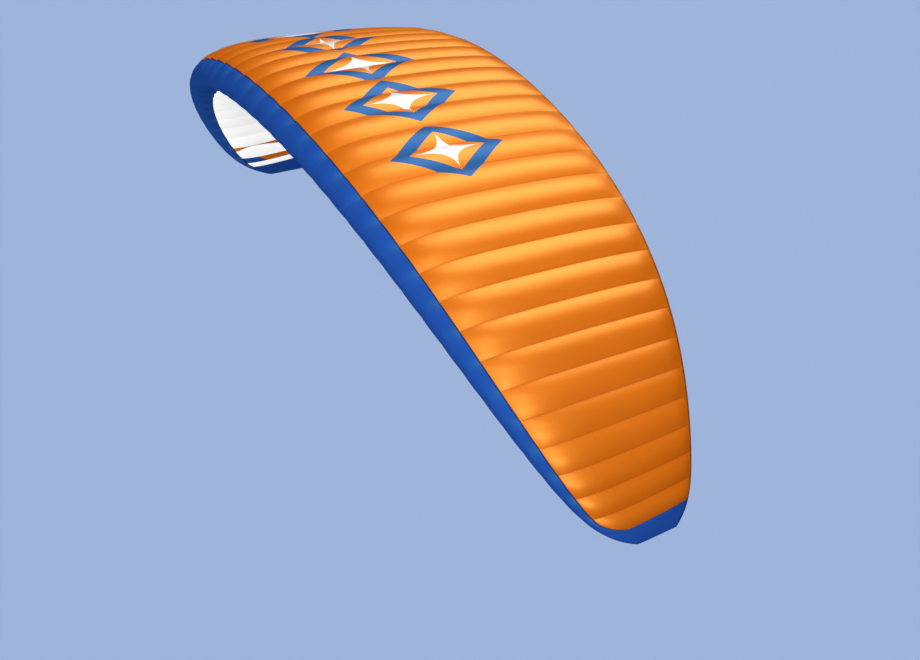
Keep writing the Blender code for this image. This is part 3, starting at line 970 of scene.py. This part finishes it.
# %% Two closed tip cells
def tip_cell(label, side):
    """Loops round the section at places sin(t), t from 0 to a quarter turn, and a cap of squares."""
    places = np.sin(np.linspace(0, np.pi / 2, TIP_RINGS + 1))
    places[0] = SEAM_GAP / 2 / width_around(0.0)
    half = np.linspace(0, 1, TIP_ROWS + 1)
    wraps = np.concatenate([-half[::-1], half[1:]])
    cells = CELLS + places if side > 0 else -places[::-1]
    grid = wing_point(cells[None, :], wraps[:, None])
    faces = tip_faces(len(wraps), len(cells), side)
    across, down = along(grid, 1), along(grid, 0)
    reach = np.broadcast_to(HALF_SPAN * station_of(cells), grid.shape[:2])
    to_seam = across if side > 0 else across[:, -1:] - across
    chord = chord_and_front(np.abs(station_of(cells)))[0]
    aft = np.broadcast_to(wraps[:, None] ** 2 * chord, grid.shape[:2])
    thing = make_mesh(
        f"tip_{label}_cell",
        grid.reshape(-1, 3),
        faces,
        {"to_seam": to_seam.reshape(-1), "to_end": np.full(to_seam.size, FAR_FROM_ENDS),
         "to_tail": ((1 - wraps[:, None] ** 2) * chord).reshape(-1)},
        {"cloth": np.stack([reach.reshape(-1), down.reshape(-1)], axis=1),
         "place": np.stack([reach.reshape(-1), aft.reshape(-1)], axis=1)},
    )
    wall = thing.modifiers.new("cloth", "SOLIDIFY")
    wall.thickness = THIN
    wall.offset = -1.0
    thing.data.materials.append(BLUE_CLOTH)
    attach(thing, "root")
    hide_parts(f"tip_{label}")
    area = quad_area(grid.reshape(-1, 3), faces)
    flat = (float(across.max()), float(down.max()))
    PIECES.append((thing.name, flat, area))


for side, label in ((1, "left"), (-1, "right")):
    tip_cell(label, side)
print("tip cell, flat m: %.3f x %.3f" % PIECES[-1][1], " area, m2: %.3f" % PIECES[-1][2])

# %% [markdown]
# ## The floor, the light and the camera
#
# The wing flies high above a plain pale floor, which takes no shadow and throws no light back. Past
# its edge the air has the same colour and gives hardly any light. One broad soft light stands high
# behind the wing and draws a bright streak along each cell. A smaller one in front lights the nose
# and the cells' front ends. Four faint broad ones fill the sides and the underside: two from the
# viewer's side, one from straight below and one from the far side.

# %% Floor
FLOOR_DEPTH = 40.0
FLOOR_SIDE = 900.0
FLOOR_COLOUR = (0.37, 0.49, 0.75)
FLOOR_ROUGHNESS = 0.9
FLOOR_GLOSS = 0.1
floor_z = FRAME_BOX[0].z - FLOOR_DEPTH
corner = FLOOR_SIDE / 2
floor_mesh = bpy.data.meshes.new("floor")
floor_mesh.from_pydata([(-corner, -corner, floor_z), (corner, -corner, floor_z),
                        (corner, corner, floor_z), (-corner, corner, floor_z)], [], [(0, 1, 2, 3)])
floor = bpy.data.objects.new("floor", floor_mesh)
bpy.context.scene.collection.objects.link(floor)
paint = bpy.data.materials.new("floor_paint")
paint.use_nodes = True
paint_shader = paint.node_tree.nodes["Principled BSDF"]
paint_shader.inputs["Base Color"].default_value = (*FLOOR_COLOUR, 1)
paint_shader.inputs["Roughness"].default_value = FLOOR_ROUGHNESS
paint_shader.inputs["Specular IOR Level"].default_value = FLOOR_GLOSS
floor_mesh.materials.append(paint)
floor.visible_shadow = floor.visible_diffuse = floor.visible_glossy = False
print("floor, m: %.0f under the wing" % FLOOR_DEPTH)


# %% Lights
def turned(azimuth, elevation, roll=0.0):
    """The turn of a light or camera that stands at an azimuth and elevation, in degrees.

    Back to it is (sin a cos e, -cos a cos e, sin e). Its right is (cos a, sin a, 0), rolled
    about that, and its up is back x right.
    """
    a, e, r = np.radians([azimuth, elevation, roll])
    back = np.array([np.sin(a) * np.cos(e), -np.cos(a) * np.cos(e), np.sin(e)])
    level = np.array([np.cos(a), np.sin(a), 0.0])
    right = level * np.cos(r) + np.cross(back, level) * np.sin(r)
    return Matrix(np.column_stack([right, np.cross(back, right), back]).tolist()).to_4x4()


def sun(name, azimuth, elevation, strength, softness):
    """A distant soft light. From azimuth 0 it shines along +Y, and from 90 along -X."""
    lamp = bpy.data.lights.new(name, "SUN")
    lamp.energy = strength
    lamp.angle = np.radians(softness)
    thing = bpy.data.objects.new(name, lamp)
    thing.matrix_world = turned(azimuth, elevation)
    bpy.context.scene.collection.objects.link(thing)


sun("key", azimuth=211, elevation=49, strength=1.9, softness=45)
sun("front", azimuth=22, elevation=22, strength=2.05, softness=12)
sun("viewer_high", azimuth=88, elevation=44, strength=0.8, softness=30)
sun("viewer_low", azimuth=84, elevation=5, strength=1.2, softness=30)
sun("from_below", azimuth=0, elevation=-88, strength=0.6, softness=30)
sun("far_side", azimuth=-103, elevation=-46, strength=0.6, softness=30)
print("lights:", [lamp.name for lamp in bpy.data.lights])

# %% The air behind
AIR_LIGHT = 0.02
AIR_SEEN = 0.95
world = bpy.data.worlds.new("studio")
bpy.context.scene.world = world
world.use_nodes = True
air = world.node_tree.nodes["Background"]
air.inputs["Color"].default_value = (*FLOOR_COLOUR, 1)
seen = world.node_tree.nodes.new("ShaderNodeLightPath")
strength = world.node_tree.nodes.new("ShaderNodeMapRange")
strength.inputs["To Min"].default_value = AIR_LIGHT
strength.inputs["To Max"].default_value = AIR_SEEN
world.node_tree.links.new(seen.outputs["Is Camera Ray"], strength.inputs["Value"])
world.node_tree.links.new(strength.outputs[0], air.inputs["Strength"])
bpy.context.scene.view_settings.view_transform = "Standard"
bpy.context.scene.view_settings.look = "None"
print("air as seen: %.2f, as light: %.2f" % (AIR_SEEN, AIR_LIGHT))

# %% Camera
CAMERA_PLACE = (15.166, -6.522, 7.861)
CAMERA_AZIMUTH = 62.597
CAMERA_ELEVATION = 32.381
CAMERA_ROLL = -1.553
LENS_MM = 69.09
SENSOR_MM = 36.0
SEES_TO = 1000.0

camera = bpy.data.objects.new("camera", bpy.data.cameras.new("camera"))
camera.data.lens = LENS_MM
camera.data.sensor_width = SENSOR_MM
camera.data.clip_end = SEES_TO
turn = turned(CAMERA_AZIMUTH, CAMERA_ELEVATION, CAMERA_ROLL)
camera.matrix_world = Matrix.Translation(CAMERA_PLACE) @ turn
bpy.context.scene.collection.objects.link(camera)
bpy.context.scene.camera = camera
print("camera turned, degrees:", CAMERA_AZIMUTH, CAMERA_ELEVATION, " lens, mm:", LENS_MM)

# %% [markdown]
# ## The list of pieces
#
# PIECES holds each piece's name, flat size in metres and area in square metres, as the sheets add them.
# The dressed wing must fill the same box as the frame.
